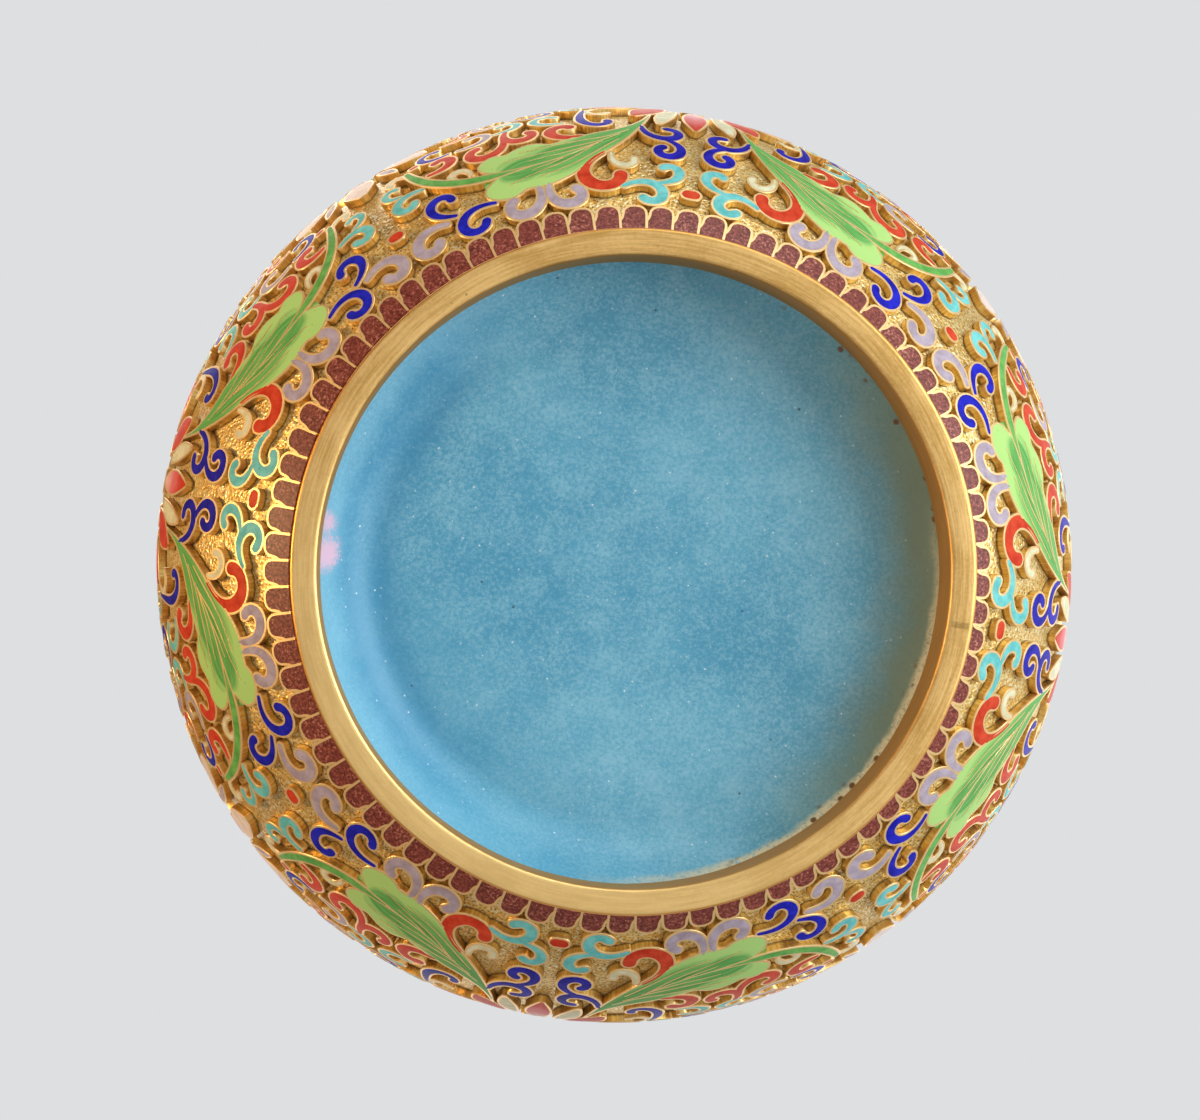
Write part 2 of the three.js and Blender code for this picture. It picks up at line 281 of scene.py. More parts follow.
enamels = {  # dark tone, light tone
    "turquoise": (colour(94, 182, 180), colour(130, 212, 210)),
    "navy": (colour(26, 22, 136), colour(46, 42, 186)),
    "cobalt": (colour(26, 26, 150), colour(42, 46, 200)),
    "red": (colour(196, 52, 30), colour(222, 80, 50)),
    "cream": (colour(212, 202, 158), colour(236, 230, 196)),
    "lavender": (colour(164, 146, 158), colour(192, 176, 190)),
    "pale": (colour(226, 200, 188), colour(240, 222, 208)),
    "stem": (colour(88, 156, 74), colour(122, 188, 96)),
}
enamelSkin = {
    "mottle": 1.6,
    "grain": 0.22,
    "pitSpacing": 1.3,
    "pitSize": 0.09,
    "depth": 0.03,
    "gloss": 0.08,
}


# the fired surface that every enamel has
def enamelSkinOn(finish, place, tone, darker, gloss=enamelSkin["gloss"]):
    grain = finish.noise(place, enamelSkin["grain"], 2.0)
    pits = finish.between(finish.cells(place, enamelSkin["pitSpacing"]), enamelSkin["pitSize"], 0.03)
    finish.surface({
        "Base Color": finish.mix(pits * 0.55, tone, darker),
        "Roughness": 0.34 + 0.2 * grain + 0.2 * pits,
        "Normal": finish.bump(grain * 0.6 - pits, 0.35, enamelSkin["depth"]),
        "Specular IOR Level": gloss,
    })


def enamelFinish(name, dark, light):
    finish = Finish(name + "_enamel")
    place = finish.objectPlace()
    cloud = finish.noise(place, enamelSkin["mottle"], 4.0, 0.65)
    tone = finish.mix(finish.between(cloud, 0.3, 0.7), dark, light)
    enamelSkinOn(finish, place, tone, tuple(c * 0.3 for c in dark[:3]) + (1.0,))
    return finish.material


leafTones = {"deep": colour(84, 154, 74), "middle": colour(124, 190, 104), "light": colour(180, 218, 128)}


def leafFinish():  # light lobes that run into a deeper tip
    finish = Finish("leaf_enamel")
    place = finish.objectPlace()
    along, across = finish.parts(finish.attribute("place"))[:2]
    fibres = finish.node("ShaderNodeCombineXYZ", None, {0: along * 0.004, 1: across * 0.009})
    streak = finish.noise(fibres, 1.0, 3.0, 0.6)
    lobe = abs(across) * (1.05 - along) + 0.3 * (streak - 0.5)
    core = finish.mix(finish.between(streak, 0.3, 0.68), leafTones["deep"], leafTones["middle"])
    tone = finish.mix(finish.between(lobe, 0.3, 0.58), core, leafTones["light"])
    enamelSkinOn(finish, place, tone, colour(50, 90, 40))
    return finish.material


petalTones = {"tip": colour(208, 62, 40), "middle": colour(226, 112, 112), "base": colour(242, 190, 186)}


def petalFinish():  # red at the tip, pale pink at the base
    finish = Finish("petal_enamel")
    place = finish.objectPlace()
    along, across = finish.parts(finish.attribute("place"))[:2]
    cloud = finish.noise(place, 1.5, 3.0)
    run = along + 0.25 * (cloud - 0.5) + 0.12 * abs(across)
    low = finish.mix(finish.between(run, 0.15, 0.6), petalTones["base"], petalTones["middle"])
    tone = finish.mix(finish.between(run, 0.6, 0.86), low, petalTones["tip"])
    enamelSkinOn(finish, place, tone, colour(150, 50, 40))
    return finish.material


lappetTones = {
    "dark": colour(92, 34, 28),
    "middle": colour(146, 70, 58),
    "light": colour(208, 140, 122),
    "grain": 0.36,
    "gloss": 0.4,
}


def lappetFinish():  # grainy maroon of the borders
    finish = Finish("lappet_enamel")
    place = finish.objectPlace()
    grain = finish.noise(place, lappetTones["grain"], 3.0, 0.7)
    cloud = finish.noise(place, 3.0, 3.0)
    tone = finish.mix(finish.between(grain, 0.34, 0.6), lappetTones["dark"], lappetTones["middle"])
    tone = finish.mix(finish.between(grain * 0.8 + cloud * 0.2, 0.54, 0.68), tone, lappetTones["light"])
    enamelSkinOn(finish, place, tone, colour(50, 20, 16), lappetTones["gloss"])
    return finish.material


baseTones = {
    "deep": colour(68, 148, 180),
    "middle": colour(92, 168, 196),
    "frost": colour(160, 208, 222),
    "blue": colour(44, 130, 172),
    "bright": colour(146, 200, 220),
    "olive": colour(112, 124, 92),
    "crust": colour(214, 204, 166),
    "smear": colour(234, 184, 204),
    "grit": colour(104, 70, 32),
    "speck": colour(236, 244, 242),
    "pit": colour(34, 70, 76),
    "climbWay": (-0.67, 0.74),  # toward the side where the enamel climbs
    "brightWay": (-0.998, 0.07),
    "crustWay": (0.82, 0.57),
    "smears": ((-35.3, 0.3, 0.8), (-34.8, 3.7, 1.2)),  # where, and how wide
}


baseZones = {  # millimetres toward a side, or out from the middle
    "climb": (14.0, 30.0),
    "crescent": (12.0, 25.0),
    "crescentRadius": (25.5, 29.0),
    "lit": (4.0, 30.0),
    "litRadius": (32.4, 35.2),
    "soilAndShade": (-14.0, -33.0),
    "soilAndShadeRadius": (26.5, 34.5),
    "crust": (18.0, 34.0),
    "crustRadius": (34.7, 35.4),
    "grit": (-8.0, -24.0),
    "gritRadius": (34.9, 35.7),
}


def baseFinish():  # counter-enamel under the jar: frosted and pitted, lit on one side by a painted highlight, with painted shade and a painted olive reflection along the other
    finish = Finish("base_enamel")
    place = finish.objectPlace()
    x, y = (part / mm for part in finish.parts(place)[:2])
    radius = (x * x + y * y) ** 0.5
    cloud = finish.noise(place, 26.0, 4.0, 0.6)
    patch = finish.noise(place, 5.0, 3.0, 0.6)
    frost = finish.noise(place, 0.42, 4.0, 0.75)
    grain = finish.noise(place, 0.3, 2.0)
    tone = finish.mix(finish.between(cloud, 0.32, 0.68), baseTones["deep"], baseTones["middle"])
    frosted = finish.between(frost * 0.6 + cloud * 0.15 + patch * 0.25, 0.4, 0.64)
    tone = finish.mix(frosted * 0.56, tone, baseTones["frost"])
    # painted shade: the climbing side is darkened toward the deep tone
    climbed = x * baseTones["climbWay"][0] + y * baseTones["climbWay"][1]
    tone = finish.mix(finish.between(climbed, *baseZones["climb"]) * 0.45, tone, baseTones["deep"])
    toward = x * baseTones["brightWay"][0] + y * baseTones["brightWay"][1]
    crescent = finish.between(toward, *baseZones["crescent"])
    crescent = crescent * finish.between(radius, *baseZones["crescentRadius"])
    tone = finish.mix(crescent * 0.5, tone, baseTones["blue"])
    lit = finish.between(toward, *baseZones["lit"])
    lit = lit * finish.between(radius + 2 * (patch - 0.5), *baseZones["litRadius"])
    tone = finish.mix(lit * (0.15 + 0.75 * frost), tone, baseTones["bright"])
    # painted shade: the fillet on the side away from the key light turns olive, standing for shade and the
    # ring's gold mirrored in it
    shadedEdge = finish.between(toward, *baseZones["soilAndShade"])
    shadedEdge = shadedEdge * finish.between(radius + 5 * (patch - 0.5), *baseZones["soilAndShadeRadius"])
    tone = finish.mix(shadedEdge * 0.85, tone, baseTones["olive"])
    crusted = x * baseTones["crustWay"][0] + y * baseTones["crustWay"][1]
    crust = finish.between(crusted, *baseZones["crust"])
    crust = crust * finish.between(radius + 1.4 * (patch - 0.5), *baseZones["crustRadius"])
    tone = finish.mix(crust * finish.between(frost, 0.28, 0.52), tone, baseTones["crust"])
    grit = finish.between(finish.cells(place, 1.7), 0.3, 0.16)
    grit = grit * finish.between(radius + patch, *baseZones["gritRadius"])
    tone = finish.mix(grit * finish.between(toward, *baseZones["grit"]), tone, baseTones["grit"])
    for smearX, smearY, width in baseTones["smears"]:
        along, over = (y - smearY) * 0.6, x - smearX
        spread = (along * along + over * over) ** 0.5 + 2.0 * (patch - 0.5) + 2.6 * (frost - 0.5)
        tone = finish.mix(finish.between(spread, width + 0.4, width - 0.6) * 0.85, tone, baseTones["smear"])
    specks = finish.between(finish.cells(place, 1.2), 0.13, 0.05) * finish.between(frost, 0.48, 0.6)
    tone = finish.mix(specks * 0.85, tone, baseTones["speck"])
    pits = finish.between(finish.cells(place, 4.6), 0.045, 0.025)
    tone = finish.mix(pits * 0.8, tone, baseTones["pit"])
    finish.surface({
        "Base Color": tone,
        "Roughness": 0.32 + 0.18 * frost + 0.1 * grain,
        "Normal": finish.bump(frost + 0.5 * grain - pits + crust, 0.35, 0.07),
        "Coat Weight": 0.15,
        "Coat Roughness": 0.25,
    })
    return finish.material


def liningFinish():  # plain turquoise glaze inside the jar and the lid
    return enamelFinish("lining", colour(70, 158, 172), colour(104, 186, 196))


finishes = {name: enamelFinish(name, *tones) for name, tones in enamels.items()}
finishes.update(
    ground=stippledGilt(),
    wire=wireGilt(),
    turned=turnedGilt("turned_gilt"),
    foot=turnedGilt("foot_gilt", 35.8, 38.6),
    leaf=leafFinish(),
    petal=petalFinish(),
    lappet=lappetFinish(),
    base=baseFinish(),
    lining=liningFinish(),
)
print("finishes:", len(finishes))


# mesh helpers

def pieceFrom(name, mesh, replaced=None):
    piece = bpy.data.objects.new(name, mesh)
    bpy.context.scene.collection.objects.link(piece)
    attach(piece, "root")
    if replaced:
        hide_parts(replaced)
    return piece


def outward(mesh, edgeAngle=38.0):  # faces out, smooth except over real edges
    work = bmesh.new()
    work.from_mesh(mesh)
    bmesh.ops.recalc_face_normals(work, faces=work.faces)
    work.to_mesh(mesh)
    work.free()
    mesh.shade_smooth()
    mesh.set_sharp_from_angle(angle=math.radians(edgeAngle))


def eased(corners, steps=5):  # rounds the corners that give a radius
    path = []
    for index, (r, z, *ease) in enumerate(corners):
        here = np.array([r, z], float)
        if not ease:
            path.append(here)
            continue
        before = np.array(corners[index - 1][:2], float) - here
        after = np.array(corners[(index + 1) % len(corners)][:2], float) - here
        start = here + before * min(ease[0] / np.linalg.norm(before), 0.48)
        end = here + after * min(ease[0] / np.linalg.norm(after), 0.48)
        for t in np.linspace(0, 1, steps):
            path.append((1 - t) ** 2 * start + 2 * t * (1 - t) * here + t ** 2 * end)
    return path


def turnedPiece(name, profile, finish, replaced=None, sides=240, waver=None):
    rings, points, faces = [], [], []
    turns = np.arange(sides) * 2 * math.pi / sides
    for r, z in profile:
        if r < 1e-6:
            rings.append([len(points)] * sides)
            points.append((0, 0, z * mm))
            continue
        rings.append(list(range(len(points), len(points) + sides)))
        radius, height = (r, z) if waver is None else waver(r, z, turns)
        spots = np.stack([radius * np.cos(turns), radius * np.sin(turns), height + 0 * turns], 1)
        points.extend(map(tuple, spots * mm))
    onAxis = profile[0][0] < 1e-6
    for first, second in zip(rings, rings[1:] if onAxis else rings[1:] + rings[:1]):
        for i in range(sides):
            j = (i + 1) % sides
            face = list(dict.fromkeys((first[i], first[j], second[j], second[i])))
            faces.append(face)
    mesh = bpy.data.meshes.new(name)
    mesh.from_pydata(points, [], faces)
    mesh.materials.append(finish)
    outward(mesh)
    return pieceFrom(name, mesh, replaced)


# the curved grounds that the ornament lies on

class Arc:  # slope runs from the foot or the lid's edge, along is measured over the cells
    def __init__(self, centreRadius, centreHeight, radius, startSlope, cell):
        self.centreRadius = centreRadius
        self.centreHeight = centreHeight
        self.radius = radius
        self.startSlope = startSlope
        self.cell = cell

    def section(self, along, rise):
        slope = self.startSlope + along / (self.radius + self.cell)
        reach = self.radius + rise
        return self.centreRadius + reach * np.sin(slope), self.centreHeight - reach * np.cos(slope)

    def degreeLength(self, along):
        return math.pi / 180 * self.section(along, self.cell)[0]

    def spots(self, degrees, along, rise):
        radius, height = self.section(along, rise)
        turn = np.radians(degrees - 90)
        return np.stack([radius * np.cos(turn), radius * np.sin(turn), height + 0 * turn], -1) * mm

    def length(self):  # from the start to the girth
        return (math.pi / 2 - self.startSlope) * (self.radius + self.cell)

    def profile(self, first, last, rise, count):
        radius, height = self.section(np.linspace(first, last, count), rise)
        return list(zip(radius, height))


jar = {
    "cell": 1.1,
    "sideCentre": 16.0,  # radius at which the side's arc is centred
    "bellyHeight": 46.8,
    "startSlope": 33.0,
    "shell": 1.0,  # gilt copper
    "lining": 1.0,
    "floor": 12.0,
    "floorThick": 1.1,
    "floorFlat": 33.0,  # radius where the floor begins to rise
    "floorEdge": 36.0,
    "mouth": 36.3,
    "step": 0.4,  # inside the rings above and below
    "gap": 0.02,  # between copper and lining
}
side = Arc(
    jar["sideCentre"],
    jar["bellyHeight"],
    bodyHigh.x - jar["sideCentre"] - jar["cell"],
    math.radians(jar["startSlope"]),
    jar["cell"],
)
girth = side.length()

lidForm = {"rise": 17.0, "edge": 39.0, "shell": 1.0, "lining": 1.0, "seat": 7.0, "cell": 1.1}
domeRadius = (lidForm["edge"] ** 2 + lidForm["rise"] ** 2) / (2 * lidForm["rise"])
dome = Arc(
    0.0,
    lidLow.z + lidForm["rise"] - domeRadius,
    domeRadius,
    math.pi - math.asin(lidForm["edge"] / domeRadius),
    lidForm["cell"],
)
domeTop = (math.pi - dome.startSlope) * (domeRadius + lidForm["cell"])


# turned pieces

def makeJarShells():
    seat = footHigh.z + 0.3
    root = side.section(0, 0)[0]
    top = mouthLow.z
    outer = side.profile(0, 2 * girth, 0, 90)
    inner = side.profile(2 * girth, 0, -jar["shell"], 60)
    ring = [(root - jar["step"], top, 0.2), (jar["mouth"] + jar["step"], top, 0.2)]
    shell = [(root - 0.9, seat)] + outer + eased(ring) + inner
    turnedPiece("jar_ground", shell, finishes["ground"], "jar_body")
    outside = side.profile(0.5, 2 * girth - 0.2, -jar["shell"] - jar["gap"], 60)
    inside = side.profile(2 * girth - 0.2, 2.6, -jar["shell"] - jar["lining"], 60)
    under = jar["floor"] - jar["floorThick"]
    lining = [(0, under), (jar["floorEdge"], under)] + outside + inside
    lining += [(jar["floorFlat"], jar["floor"] + 0.15), (0, jar["floor"])]
    turnedPiece("jar_lining", lining, finishes["lining"])


base = {
    "height": 9.5,
    "edgeHeight": 6.9,
    "thick": 1.1,
    "filletWidth": 6.8,
    "edge": 35.75,
    "waver": 0.12,
    "climb": 3.7,  # the enamel runs up the ring on one side
    "climbSide": 132.0,
}


def makeBase():
    flat = base["edge"] - base["filletWidth"]
    top = base["height"] + base["thick"]

    def waver(r, z, turns):
        if z == top:
            return r, z + 0 * turns
        share = np.clip((r - flat) / base["filletWidth"], 0, 1) ** 2
        drift = np.sin(3 * turns + 1.1) + 0.6 * np.sin(7 * turns + 0.4) + 0.8 * np.sin(19 * turns + 2.0)
        facing = 0.5 + 0.5 * np.cos(turns - math.radians(base["climbSide"]))
        return r, z + share * (base["waver"] * drift - base["climb"] * facing ** 1.2)

    profile = [(0.0, base["height"])]
    profile += [(r, base["height"]) for r in np.linspace(3, flat, 12)]
    for t in np.linspace(0.1, 1, 12):
        fall = (base["height"] - base["edgeHeight"]) * t ** 2
        profile.append((flat + base["filletWidth"] * t, base["height"] - fall))
    profile += [(base["edge"], top), (0.0, top)]
    turnedPiece("base_enamel", profile, finishes["base"], waver=waver)


rings = {
    "footWidth": 3.1,
    "footLap": 0.35,  # reaches up into the body
    "innerEase": 0.6,
    "outerEase": 0.5,
    "mouthWidth": 3.4,
    "chamfer": (0.5, 1.0),
    "rimGap": 0.3,
    "rimLap": 0.25,
    "shoulder": 0.8,
    "collarWidth": 1.4,
    "ease": 0.3,
}


def makeRings():
    ease = rings["ease"]
    inside = footHigh.x - rings["footWidth"]
    top = footHigh.z + rings["footLap"]
    foot = [
        (inside, footLow.z, rings["innerEase"]),
        (footHigh.x, footLow.z, rings["outerEase"]),
        (footHigh.x, top),
        (inside, top),
    ]
    turnedPiece("foot_ring_turned", eased(foot), finishes["foot"], "foot_ring", 320)
    inside = mouthHigh.x - rings["mouthWidth"]
    inward, upward = rings["chamfer"]
    mouth = [
        (inside, mouthLow.z, ease),
        (mouthHigh.x - inward, mouthLow.z, ease),
        (mouthHigh.x, mouthLow.z + upward, ease),
        (mouthHigh.x, mouthHigh.z - upward, ease),
        (mouthHigh.x - inward, mouthHigh.z, ease),
        (inside, mouthHigh.z, ease),
    ]
    turnedPiece("mouth_ring_turned", eased(mouth), finishes["turned"], "mouth_ring", 320)
    bottom = mouthHigh.z + rings["rimGap"]
    top = rimHigh.z + rings["rimLap"]
    collarOut = inside - rings["rimGap"]
    collarIn = collarOut - rings["collarWidth"]
    rim = [
        (collarIn, rimLow.z, ease),
        (collarOut, rimLow.z, ease),
        (collarOut, bottom),
        (rimHigh.x, bottom, ease),
        (rimHigh.x, rimHigh.z - rings["shoulder"], ease),
        (rimHigh.x - rings["shoulder"], top, ease),
        (collarIn, top, ease),
    ]
    turnedPiece("lid_rim_turned", eased(rim), finishes["turned"], "lid_rim", 320)


knob = {  # the stations are shares of the radius and of the height
    "bud": 6.4,
    "petals": 8,
    "swell": 0.05,
    "neckStations": (
        (1.0, 0.07), (0.93, 0.115), (0.8, 0.14), (0.66, 0.17),
        (0.55, 0.21), (0.515, 0.25), (0.54, 0.285), (0.6, 0.31),
    ),
    "budStations": (
        (0.68, 0.33), (0.84, 0.4), (0.95, 0.47), (1.0, 0.545),
        (0.96, 0.62), (0.84, 0.7), (0.66, 0.78), (0.46, 0.85),
        (0.28, 0.91), (0.14, 0.96), (0.07, 0.985),
    ),
}


def makeKnob():
    low, tall = knobLow.z - 0.25, knobHigh.z - knobLow.z
    seat = lidForm["seat"]

    def waver(r, z, turns):
        share = (z - knobLow.z) / tall
        petal = np.abs(np.cos(knob["petals"] / 2 * turns)) - 0.64
        fade = np.clip((share - 0.32) * 6, 0, 1) * np.clip((0.97 - share) * 4, 0, 1)
        return r * (1 + knob["swell"] * petal * fade), z + 0 * turns

    profile = [(0.0, low), (seat, low)]
    profile += [(seat * r, knobLow.z + tall * h) for r, h in knob["neckStations"]]
    profile += [(knob["bud"] * r, knobLow.z + tall * h) for r, h in knob["budStations"]]
    profile.append((0.0, knobHigh.z))
    turnedPiece("knob_bud", profile, finishes["turned"], "knob", 128, waver)


def makeLidShells():
    seatAlong = domeTop - math.asin(lidForm["seat"] / domeRadius) * (domeRadius + lidForm["cell"])
    outer = dome.profile(0, seatAlong, 0, 40)
    inner = dome.profile(seatAlong, 0, -lidForm["shell"], 40)
    bottom = lidLow.z - 0.05
    shell = [(lidForm["edge"] + 0.4, bottom), (lidForm["edge"] + 0.2, bottom + 0.5)] + outer[1:]
    shell += [(inner[0][0] * 0.4, outer[-1][1])] + inner[:-1] + [(inner[-1][0] - 0.3, bottom)]
    turnedPiece("lid_ground", shell, finishes["ground"], "lid")
    outside = dome.profile(1.2, domeTop, -lidForm["shell"] - 0.02, 40)
    inside = dome.profile(domeTop, 1.9, -lidForm["shell"] - lidForm["lining"], 40)
    lining = [(0.0, outside[-1][1])] + outside[-2::-1] + inside[-1:0:-1] + [(0.0, inside[0][1])]
    turnedPiece("lid_lining", lining, finishes["lining"])


makeJarShells()
makeBase()
makeRings()
makeKnob()
makeLidShells()
print("turned pieces made")


# ornament: every cell is a stroke with arms to the left and the right of its path

class Cell:
    def __init__(
        self, home, path, left, right=None, across=2, capped=True, paired=True, doubled=True, lift=0.0
    ):
        self.home = home  # degrees, millimetres along the arc
        self.path = np.asarray(path, complex)
        self.left = np.asarray(left, float) + 0 * self.path.real
        self.right = self.left if right is None else np.asarray(right, float) + 0 * self.path.real
        self.across = across
        self.capped = capped
        self.paired = paired  # mirrored about the flower's axis
        self.doubled = doubled  # mirrored about the girth
        self.lift = lift

    def ribs(self, inset, least=0.05):
        width = np.minimum(self.left, self.right) - inset
        kept = np.flatnonzero(width > least)
        kept = slice(kept[0], kept[-1] + 1)
        heading = np.gradient(self.path)
        heading = (heading / np.abs(heading))[kept]
        path = self.path[kept].copy()
        left, right = self.left[kept] - inset, self.right[kept] - inset
        share = np.linspace(0, 1, len(self.path))[kept]
        if self.capped:
            curl = np.radians([84, 58, 30])
            tail = path[0] - heading[0] * min(left[0], right[0]) * np.sin(curl)
            bulb = path[-1] + heading[-1] * min(left[-1], right[-1]) * np.sin(curl[::-1])
            path = np.concatenate([tail, path, bulb])
            left = np.concatenate([left[0] * np.cos(curl), left, left[-1] * np.cos(curl[::-1])])
            right = np.concatenate([right[0] * np.cos(curl), right, right[-1] * np.cos(curl[::-1])])
            share = np.concatenate([share[:1]] * 3 + [share] + [share[-1:]] * 3)
            heading = np.concatenate([heading[:1]] * 3 + [heading] + [heading[-1:]] * 3)
        else:
            path[0] += heading[0] * inset
        return path, 1j * heading * left, -1j * heading * right, share


class Blade(Cell):  # a shape between two drawn edges, with a rib from root to tip
    def __init__(self, home, rib, lower, upper, **marks):
        super().__init__(home, rib, 1.0, **marks)
        self.edges = lower, upper

    def ribs(self, inset, least=0.1):
        drawn = []
        for edge in self.edges:
            inward = 1j * np.gradient(edge)
            inward /= np.abs(inward)
            inward *= np.sign(np.sum(((self.path - edge) * inward.conj()).real))
            drawn.append(edge + inset * inward)
        across = self.edges[0] - self.edges[1]
        room = ((drawn[0] - drawn[1]) * across.conj()).real / np.abs(across)
        kept = np.flatnonzero(room > least)
        kept = slice(kept[0], kept[-1] + 1)
        path = self.path[kept]
        share = np.linspace(0, 1, len(self.path))[kept]
        return path, drawn[0][kept] - path, drawn[1][kept] - path, share


class Sheaf:  # gathers the cells of one piece into one mesh
    def __init__(self, arc):
        self.arc = arc
        self.points, self.faces, self.place = [], [], []
        self.paired, self.doubled = [], []

    def add(self, cell, inset, low, top, bevel=0.0, crown=0.0):
        path, left, right, share = cell.ribs(inset)
        top = top + cell.lift
        spread = np.linspace(-1, 1, cell.across + 1)
        columns = [(-1.0, low, 0)] + ([(-1.0, top - bevel, 0)] if bevel else [])
        columns += [(v, top + crown * (1 - v * v), 1) for v in spread]
        columns += ([(1.0, top - bevel, 0)] if bevel else []) + [(1.0, low, 0)]
        grid, place = [], []
        for v, rise, drawn in columns:
            arm = left if v >= 0 else right
            length = np.maximum(np.abs(arm), 1e-6)
            spot = path + arm * np.maximum(1 - bevel * drawn * abs(v) / length, 0) * abs(v)
            along = cell.home[1] + spot.imag
            degrees = cell.home[0] + spot.real / self.arc.degreeLength(along)
            grid.append(self.arc.spots(degrees, along, rise))
            place.append(np.stack([share, v + 0 * share, 0 * share + (rise - low) / (top - low)], -1))
        rows, wide = len(path), len(columns)
        index = self.total() + np.arange(rows * wide).reshape(wide, rows).T
        self.points.append(np.concatenate(grid))
        self.place.append(np.concatenate(place))
        around = np.roll(index, -1, axis=1)
        quads = np.stack([index[:-1], index[1:], around[1:], around[:-1]], -1).reshape(-1, 4)
        self.faces += quads.tolist() + [index[0].tolist(), index[-1, ::-1].tolist()]
        self.paired.append(np.full(rows * wide, cell.paired))
        self.doubled.append(np.full(rows * wide, cell.doubled))

    def total(self):
        return sum(map(len, self.points))

    def mesh(self, name):
        mesh = bpy.data.meshes.new(name)
        mesh.from_pydata(np.concatenate(self.points).tolist(), [], self.faces)
        place = mesh.attributes.new("place", "FLOAT_VECTOR", "POINT")
        place.data.foreach_set("vector", np.concatenate(self.place).astype(np.float32).ravel())
        for label, values in (("paired", self.paired), ("doubled", self.doubled)):
            mark = mesh.attributes.new(label, "BOOLEAN", "POINT")
            mark.data.foreach_set("value", np.concatenate(values))
        return mesh


def repeatTree():  # mirrors the marked cells, then repeats all of them round the axis
    group = bpy.data.node_groups.new("ornament_round", "GeometryNodeTree")
    sockets = {}
    for name, kind, way in (
        ("Geometry", "NodeSocketGeometry", "INPUT"),
        ("Copies", "NodeSocketInt", "INPUT"),
        ("Girth", "NodeSocketFloat", "INPUT"),
        ("Finish", "NodeSocketMaterial", "INPUT"),
        ("Geometry", "NodeSocketGeometry", "OUTPUT"),
    ):
        sockets[name, way] = group.interface.new_socket(name=name, in_out=way, socket_type=kind)
    tree = Tree(group)
    entry = group.nodes.new("NodeGroupInput")
    given = {name: Strand(entry.outputs[name]) for name in ("Geometry", "Copies", "Girth", "Finish")}

    def withMirror(geometry, mark, scale, shift):
        marked = tree.node("GeometryNodeInputNamedAttribute", {"data_type": "BOOLEAN"}, {"Name": mark})
        picked = {"Geometry": geometry, "Selection": marked}
        chosen = tree.node("GeometryNodeSeparateGeometry", None, picked)
        turned = {"Geometry": chosen, "Scale": scale, "Translation": shift}
        other = tree.node("GeometryNodeTransform", None, turned)
        other = tree.node("GeometryNodeFlipFaces", None, {"Mesh": other})
        joined = group.nodes.new("GeometryNodeJoinGeometry")
        for part in (other, geometry):
            connect(joined.inputs[0], part)
        return Strand(joined.outputs[0])

    lift = tree.node("ShaderNodeCombineXYZ", None, {"Z": given["Girth"] * 2.0})
    unit = withMirror(given["Geometry"], "paired", (-1.0, 1.0, 1.0), (0.0, 0.0, 0.0))
    unit = withMirror(unit, "doubled", (1.0, 1.0, -1.0), lift)
    line = tree.node("GeometryNodeMeshLine", None, {"Count": given["Copies"], "Offset": (0.0, 0.0, 0.0)})
    step = tree.node("GeometryNodeInputIndex") * (2 * math.pi) / given["Copies"]
    spin = tree.node("FunctionNodeAxisAngleToRotation", None, {"Axis": (0.0, 0.0, 1.0), "Angle": step})
    laid = {"Points": line, "Instance": unit, "Rotation": spin}
    copies = tree.node("GeometryNodeInstanceOnPoints", None, laid)
    solid = tree.node("GeometryNodeRealizeInstances", None, {"Geometry": copies})
    solid = tree.node("GeometryNodeSetMaterial", None, {"Geometry": solid, "Material": given["Finish"]})
    connect(group.nodes.new("NodeGroupOutput").inputs[0], solid)
    return group, {name: socket.identifier for (name, way), socket in sockets.items() if way == "INPUT"}


ornamentRound, inputOf = repeatTree()
drift = {"steady": 0.2, "sine": -0.8, "cosine": -0.6}  # degrees by which the hand-laid pattern strays


def strayed(mesh):
    points = np.empty(len(mesh.vertices) * 3, np.float32)
    mesh.vertices.foreach_get("co", points)
    points = points.reshape(-1, 3)
    turn = np.arctan2(points[:, 0], -points[:, 1])
    stray = np.radians(drift["steady"] + drift["sine"] * np.sin(turn) + drift["cosine"] * np.cos(turn))
    x, y = points[:, 0].copy(), points[:, 1].copy()
    points[:, 0] = x * np.cos(stray) - y * np.sin(stray)
    points[:, 1] = x * np.sin(stray) + y * np.cos(stray)
    mesh.vertices.foreach_set("co", points.ravel())


def ornamentPiece(name, sheaf, finish, copies):
    piece = bpy.data.objects.new(name, sheaf.mesh(name))
    piece.data.materials.append(finish)
    bpy.context.scene.collection.objects.link(piece)
    modifier = piece.modifiers.new("round", "NODES")
    modifier.node_group = ornamentRound
    modifier[inputOf["Copies"]] = copies
    modifier[inputOf["Girth"]] = jar["bellyHeight"] * mm
    modifier[inputOf["Finish"]] = finish
    evaluated = piece.evaluated_get(bpy.context.evaluated_depsgraph_get())
    mesh = bpy.data.meshes.new_from_object(evaluated)
    mesh.name = name
    plain = piece.data
    piece.modifiers.clear()
    piece.data = mesh
    bpy.data.meshes.remove(plain)
    for label in ("paired", "doubled"):
        mesh.attributes.remove(mesh.attributes[label])
    strayed(mesh)
    outward(mesh)
    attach(piece, "root")
    return sum(len(face.vertices) - 2 for face in mesh.polygons)


# strokes of the design

stroke = {"shares": (0, 0.15, 0.55, 0.85, 1), "widths": (0.6, 0.7, 1.0, 0.88, 0.92), "spare": 0.13}


def spiral(turn, hook, count):
    fine = np.linspace(0, 1, 400)
    step = np.exp(1j * np.radians(turn) * fine ** hook)
    path = np.concatenate([[0], np.cumsum((step[1:] + step[:-1]) / 2)])
    share = np.linspace(0, 1, count)
    return np.interp(share, fine, path.real) + 1j * np.interp(share, fine, path.imag)


